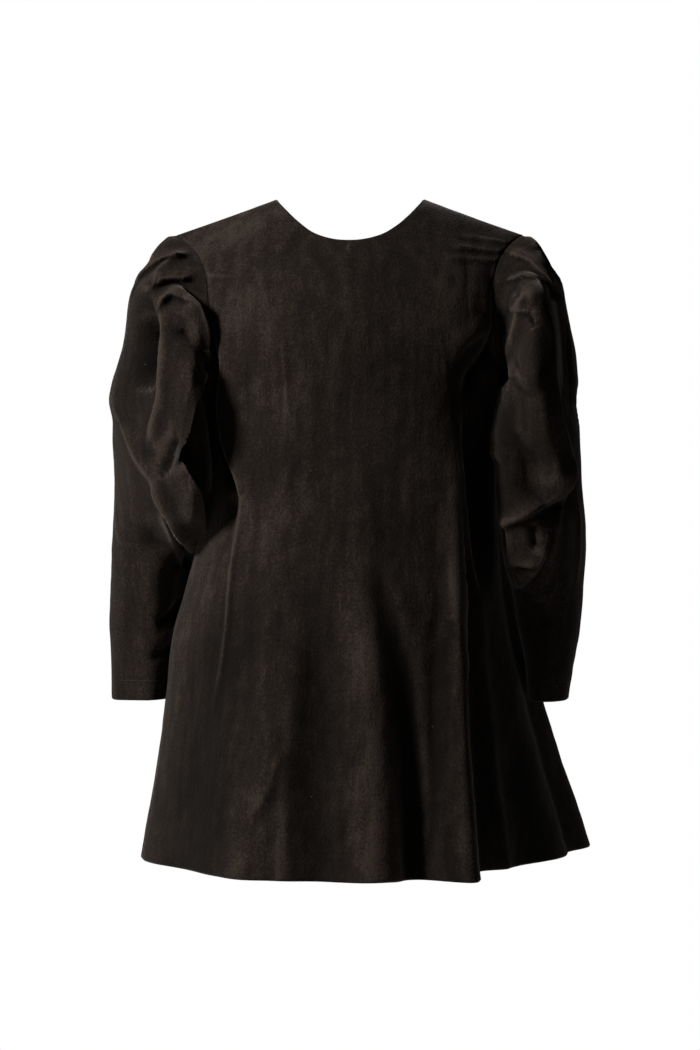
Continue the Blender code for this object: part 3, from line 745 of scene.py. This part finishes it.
def makeSleeve(name, node, hand):
    around = np.linspace(0, 2 * np.pi, coatSleeves["around"], endpoint=False)
    down = np.linspace(0, len(sleeveRings[hand]), coatSleeves["down"])
    rest = sleevePoint(hand, down, around)
    fromSeam = np.cumsum(np.linalg.norm(np.diff(rest, axis=0, prepend=rest[:1]), axis=2), axis=0)
    rest = pushLobes(rest, hand, np.sin(around), fromSeam)
    normal = gridNormal(rest, True, hand)
    mask = smoothStep(fromSeam / (coatSleeves["seamFade"] * mm))
    behind = np.broadcast_to(np.sin(around), rest.shape[:2]).ravel()
    nearPool = np.flatnonzero(behind > -coatSleeves["poolOverlap"])
    farPool = np.flatnonzero(behind < coatSleeves["poolOverlap"])
    foldLists = [(coatSleeves["near"][hand], nearPool), (coatSleeves["far"][hand], farPool)]
    shaped, tone = layFolds(rest, normal, foldLists, mask, coatSleeves["seed"][hand])
    dip = np.exp(-((fromSeam / (seamShape["dipWidth"] * mm)) ** 2))
    shaped = keepClear(shaped - (coatSleeves["seamDip"] * mm * dip)[..., None] * normal)
    fromCuff = fromSeam[-1] - fromSeam
    turned = smoothStep((coatSleeves["cuffTurn"] * mm - fromCuff) / (seamShape["turnBlend"] * mm))
    facing = gridNormal(shaped, True, hand)
    piece = sewShell(name, shaped, facing, True, tone, clothWall + turnedWall * turned, hand)
    row = np.argmin(np.abs(fromCuff.mean(1) - coatSleeves["cuffTurn"] * mm))
    makeStitches(name + "Stitches", shaped[row], facing[row])
    return dressPiece(piece, node)


# A row of stitches, which holds a cuff's turning
cuffStitches = dict(
    pitch=3.3,
    length=2.5,
    radius=0.3,
    sides=6,
    alongs=(-1, -0.6, 0.6, 1),  # rings of one stitch, as shares of half its length
    thicks=(0.2, 1, 1, 0.2),  # and of its radius
)
threadRows = []


def makeStitches(name, ring, facing):
    ring = np.concatenate([ring, ring[:1]])
    facing = np.concatenate([facing, facing[:1]])
    walked = np.concatenate([[0], np.cumsum(np.linalg.norm(np.diff(ring, axis=0), axis=1))])
    count = int(walked[-1] / (cuffStitches["pitch"] * mm))
    at = np.arange(count) * walked[-1] / count
    middle = np.stack([np.interp(at, walked, ring[:, axis]) for axis in range(3)], axis=1)
    up = unit(np.stack([np.interp(at, walked, facing[:, axis]) for axis in range(3)], axis=1))
    along = unit(np.roll(middle, -1, axis=0) - np.roll(middle, 1, axis=0))
    aside = np.cross(up, along)
    turn = np.arange(cuffStitches["sides"]) * 2 * np.pi / cuffStitches["sides"]
    shift = np.array(cuffStitches["alongs"])[:, None, None, None] * along * cuffStitches["length"] / 2
    around = np.cos(turn)[None, :, None, None] * up + np.sin(turn)[None, :, None, None] * aside
    thick = np.array(cuffStitches["thicks"])[:, None, None, None] * cuffStitches["radius"]
    points = middle + mm * (shift + around * thick)
    grid = np.arange(points[..., 0].size).reshape(points.shape[:3])
    wrapped = np.concatenate([grid, grid[:, :1]], axis=1)
    faces = np.concatenate([gridQuads(wrapped[..., one]) for one in range(count)])
    mesh = bpy.data.meshes.new(name)
    mesh.from_pydata(points.reshape(-1, 3).tolist(), [], faces.tolist())
    mesh.shade_smooth()
    row = bpy.data.objects.new(name, mesh)
    bpy.context.scene.collection.objects.link(row)
    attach(row, "root")
    threadRows.append(row)


pieces = [
    makeBack(),
    makeFront("coatFrontLeft", "front_left", -1),
    makeFront("coatFrontRight", "front_right", 1),
    makeSleeve("coatSleeveLeft", "sleeve_left", -1),
    makeSleeve("coatSleeveRight", "sleeve_right", 1),
]

# Node helpers, and the effects that more than one material uses


def addNode(tree, kind, inputs=None, **settings):
    node = tree.nodes.new("ShaderNode" + kind)
    for label, value in settings.items():
        setattr(node, label, value)
    for socket, value in (inputs or {}).items():
        if isinstance(value, bpy.types.NodeSocket):
            tree.links.new(value, node.inputs[socket])
        else:
            node.inputs[socket].default_value = value
    return node


def calc(tree, operation, *values):
    return addNode(tree, "Math", dict(enumerate(values)), operation=operation).outputs[0]


def noise(tree, place, scale, detail, roughness=0.5):
    values = {"Vector": place, "Scale": scale, "Detail": detail, "Roughness": roughness}
    return addNode(tree, "TexNoise", values).outputs["Fac"]


def makeGroup(name, *outputs):
    tree = bpy.data.node_groups.new(name, "ShaderNodeTree")
    for label in outputs:
        tree.interface.new_socket(label, in_out="OUTPUT", socket_type="NodeSocketFloat")
    return tree, tree.nodes.new("NodeGroupOutput").inputs


def useGroup(tree, group):
    node = tree.nodes.new("ShaderNodeGroup")
    node.node_tree = group
    return node.outputs


# The pile of the velvet: broad patches, streaks that run down the cloth, and grain, as repeats a metre
napLook = dict(
    patch=9,
    streak=70,
    streakLength=0.18,
    grain=430,
    pile=900,
    tone=dict(start=-1.0, patch=0.7, streak=1.2, grain=1.1),
    height=dict(streak=0.8, grain=0.6, pile=0.25),
)


def makeNap():
    tree, ends = makeGroup("velvetNap", "Tone", "Height")
    place = addNode(tree, "TexCoord").outputs["Object"]
    down = addNode(tree, "Mapping", {"Vector": place, "Scale": (1, 1, napLook["streakLength"])}).outputs[0]
    patch = noise(tree, place, napLook["patch"], 3)
    streak = noise(tree, down, napLook["streak"], 5, 0.65)
    grain = noise(tree, place, napLook["grain"], 2)
    pile = noise(tree, place, napLook["pile"], 1)
    shares = napLook["tone"]
    tone = calc(tree, "MULTIPLY_ADD", patch, shares["patch"], shares["start"])
    tone = calc(tree, "MULTIPLY_ADD", streak, shares["streak"], tone)
    tone = calc(tree, "MULTIPLY_ADD", grain, shares["grain"], tone)
    tree.links.new(tone, ends["Tone"])
    rises = napLook["height"]
    height = calc(tree, "MULTIPLY", grain, rises["grain"])
    height = calc(tree, "MULTIPLY_ADD", streak, rises["streak"], height)
    height = calc(tree, "MULTIPLY_ADD", pile, rises["pile"], height)
    tree.links.new(height, ends["Height"])
    return tree


# Threads across and down, seen on the reverse side and on the sewing thread
weaveLook = dict(pitch=0.0011, waver=0.6)


def makeWeave():
    tree, ends = makeGroup("plainWeave", "Height")
    place = addNode(tree, "TexCoord").outputs["Object"]
    scale = 2 * np.pi / (20 * weaveLook["pitch"])  # a wave node repeats 20 * scale / (2 * pi) times a metre
    wave = {"Vector": place, "Scale": scale, "Distortion": weaveLook["waver"]}
    bands = [addNode(tree, "TexWave", wave, bands_direction=way) for way in "XZ"]
    height = calc(tree, "MAXIMUM", bands[0].outputs["Fac"], bands[1].outputs["Fac"])
    tree.links.new(height, ends["Height"])
    return tree


# Specks of lint here and there
lintLook = dict(perMetre=46, size=0.028, share=0.2)


def makeLint():
    tree, ends = makeGroup("lintSpecks", "Mask")
    place = addNode(tree, "TexCoord").outputs["Object"]
    cells = addNode(tree, "TexVoronoi", {"Vector": place, "Scale": lintLook["perMetre"]})
    speck = calc(tree, "LESS_THAN", cells.outputs["Distance"], lintLook["size"])
    chosen = calc(tree, "LESS_THAN", cells.outputs["Color"], lintLook["share"])
    tree.links.new(calc(tree, "MULTIPLY", speck, chosen), ends["Mask"])
    return tree


napGroup, weaveGroup, lintGroup = makeNap(), makeWeave(), makeLint()


def newMaterial(name, values):
    material = bpy.data.materials.new(name)
    material.use_nodes = True
    tree = material.node_tree
    shader = tree.nodes["Principled BSDF"]
    for socket, value in values.items():
        shader.inputs[socket].default_value = value
    return material, tree, shader.inputs


def colourRamp(tree, value, stops):
    ramp = addNode(tree, "ValToRGB", {"Fac": value})
    marks = ramp.color_ramp.elements
    while len(marks) < len(stops):
        marks.new(0.5)
    for mark, (place, colour) in zip(marks, stops):
        mark.position = place
        mark.color = (*colour, 1)
    return ramp.outputs["Color"]


def addBump(tree, height, strength, distance):
    values = {"Height": height, "Strength": strength, "Distance": distance}
    return addNode(tree, "Bump", values).outputs["Normal"]


# Velvet, brown-black, paler on ridges where the nap is rubbed up and a painted highlight lies, with painted
# shade in hollows and the folds' painted light and shade
velvetFinish = dict(
    deep=(0.0041, 0.0028, 0.0019),
    middle=(0.0123, 0.0086, 0.0064),
    rubbedAndLit=(0.0325, 0.0240, 0.0188),
    lint=(0.07, 0.065, 0.06),
    # ridgeShare paints ridges lighter and hollows darker: partly rubbed nap, partly painted highlight and
    # painted shade
    ridgeShare=0.7,
    bumpHeight=0.0011,
    shader={
        "Roughness": 0.9,
        "Specular IOR Level": 0.08,
        "Sheen Weight": 0.16,
        "Sheen Roughness": 0.35,
        "Sheen Tint": (1.0, 0.87, 0.79, 1),
    },
)


def makeVelvet():
    material, tree, ends = newMaterial("brownVelvet", velvetFinish["shader"])
    nap = useGroup(tree, napGroup)
    paintedShadingIn = addNode(tree, "Attribute", attribute_name="paintedShading").outputs["Fac"]
    ridge = addNode(tree, "Attribute", attribute_name="ridge").outputs["Fac"]
    # painted highlight on ridges and painted shade in hollows, partly rubbed nap, then the folds' painted
    # light and shade on top
    tone = calc(tree, "MULTIPLY_ADD", ridge, velvetFinish["ridgeShare"], nap["Tone"])
    tone = calc(tree, "ADD", tone, paintedShadingIn)
    stops = [(0.0, velvetFinish["deep"]), (0.5, velvetFinish["middle"]), (1.0, velvetFinish["rubbedAndLit"])]
    colour = colourRamp(tree, tone, stops)
    mix = addNode(tree, "Mix", data_type="RGBA")
    tree.links.new(useGroup(tree, lintGroup)["Mask"], mix.inputs["Factor"])
    tree.links.new(colour, mix.inputs["A"])
    mix.inputs["B"].default_value = (*velvetFinish["lint"], 1)
    tree.links.new(mix.outputs["Result"], ends["Base Color"])
    tree.links.new(addBump(tree, nap["Height"], 1.0, velvetFinish["bumpHeight"]), ends["Normal"])
    return material


# No pile: the plain threads of the reverse side, and the thread of the stitches
reverseFinish = dict(
    dark=(0.0070, 0.0055, 0.0048),
    pale=(0.0200, 0.0165, 0.0145),
    weaveShare=0.4,
    bumpStrength=0.6,
    bumpHeight=0.0003,
    shader={"Roughness": 0.85, "Specular IOR Level": 0.2},
)
threadFinish = dict(
    dark=(0.0060, 0.0046, 0.0038),
    pale=(0.0240, 0.0195, 0.0165),
    weaveShare=0.3,
    bumpStrength=0.5,
    bumpHeight=0.0001,
    shader={"Roughness": 0.55, "Specular IOR Level": 0.35},
)


def makeWoven(name, finish):
    material, tree, ends = newMaterial(name, finish["shader"])
    weave = useGroup(tree, weaveGroup)["Height"]
    tone = calc(tree, "MULTIPLY_ADD", weave, finish["weaveShare"], useGroup(tree, napGroup)["Tone"])
    colour = colourRamp(tree, tone, [(0.2, finish["dark"]), (1.0, finish["pale"])])
    tree.links.new(colour, ends["Base Color"])
    tree.links.new(addBump(tree, weave, finish["bumpStrength"], finish["bumpHeight"]), ends["Normal"])
    return material


velvet = makeVelvet()
reverse = makeWoven("velvetReverse", reverseFinish)
thread = makeWoven("sewingThread", threadFinish)
for row in threadRows:
    row.data.materials.append(thread)
for piece in pieces:
    piece.data.materials.append(velvet)
    piece.data.materials.append(reverse)
for node in ("button", "button_loop"):  # these keep their solids, covered in the same velvet
    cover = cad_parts[node]
    cover.data.materials.clear()
    cover.data.materials.append(velvet)
print("velvet made")

# Studio: one light at the photo's left, a weak one beyond the coat, and white behind
studio = dict(
    aimAt=(0, 0, -0.35),
    floorRadius=1.6,
    floorSides=96,
    floorDrop=1.42,
    floorMottle=6,
    floorColours=[(0.3, (0.77, 0.77, 0.765)), (0.7, (0.81, 0.81, 0.81))],
    keyPlace=(-2.18, -1.16, 0.96),
    keySize=0.6,
    keyPower=118,
    backPlace=(-0.5, 2.7, 0.4),
    backSize=1.4,
    backPower=42,
    worldLight=0.025,
)


def aim(thing, target):
    thing.rotation_euler = (Vector(target) - thing.location).to_track_quat("-Z", "Y").to_euler()


def makeStudio():
    scene = bpy.context.scene
    scene.view_settings.view_transform = "Standard"
    bpy.ops.mesh.primitive_circle_add(
        vertices=studio["floorSides"],
        radius=studio["floorRadius"],
        fill_type="NGON",
        location=(0, 0, -studio["floorDrop"]),
    )
    floor = bpy.context.object
    floor.name = "studioFloor"
    paint, tree, ends = newMaterial("paleFloor", {"Roughness": 0.7})
    mottle = noise(tree, addNode(tree, "TexCoord").outputs["Object"], studio["floorMottle"], 4)
    tree.links.new(colourRamp(tree, mottle, studio["floorColours"]), ends["Base Color"])
    floor.data.materials.append(paint)
    for label in ("key", "back"):
        light = bpy.data.lights.new(label + "Light", "AREA")
        light.size = studio[label + "Size"]
        light.energy = studio[label + "Power"]
        lamp = bpy.data.objects.new(label + "Light", light)
        lamp.location = studio[label + "Place"]
        scene.collection.objects.link(lamp)
        aim(lamp, studio["aimAt"])
    world = bpy.data.worlds.new("whiteStudio")
    scene.world = world
    world.use_nodes = True
    nodes, links = world.node_tree.nodes, world.node_tree.links
    nodes.clear()
    seen = nodes.new("ShaderNodeLightPath")
    dim = nodes.new("ShaderNodeBackground")
    dim.inputs["Color"].default_value = (1, 1, 1, 1)
    dim.inputs["Strength"].default_value = studio["worldLight"]
    white = nodes.new("ShaderNodeBackground")
    white.inputs["Color"].default_value = (1, 1, 1, 1)
    choose = nodes.new("ShaderNodeMixShader")
    end = nodes.new("ShaderNodeOutputWorld")
    links.new(seen.outputs["Is Camera Ray"], choose.inputs["Fac"])
    links.new(dim.outputs["Background"], choose.inputs[1])
    links.new(white.outputs["Background"], choose.inputs[2])
    links.new(choose.outputs["Shader"], end.inputs["Surface"])


makeStudio()
print("studio lit")
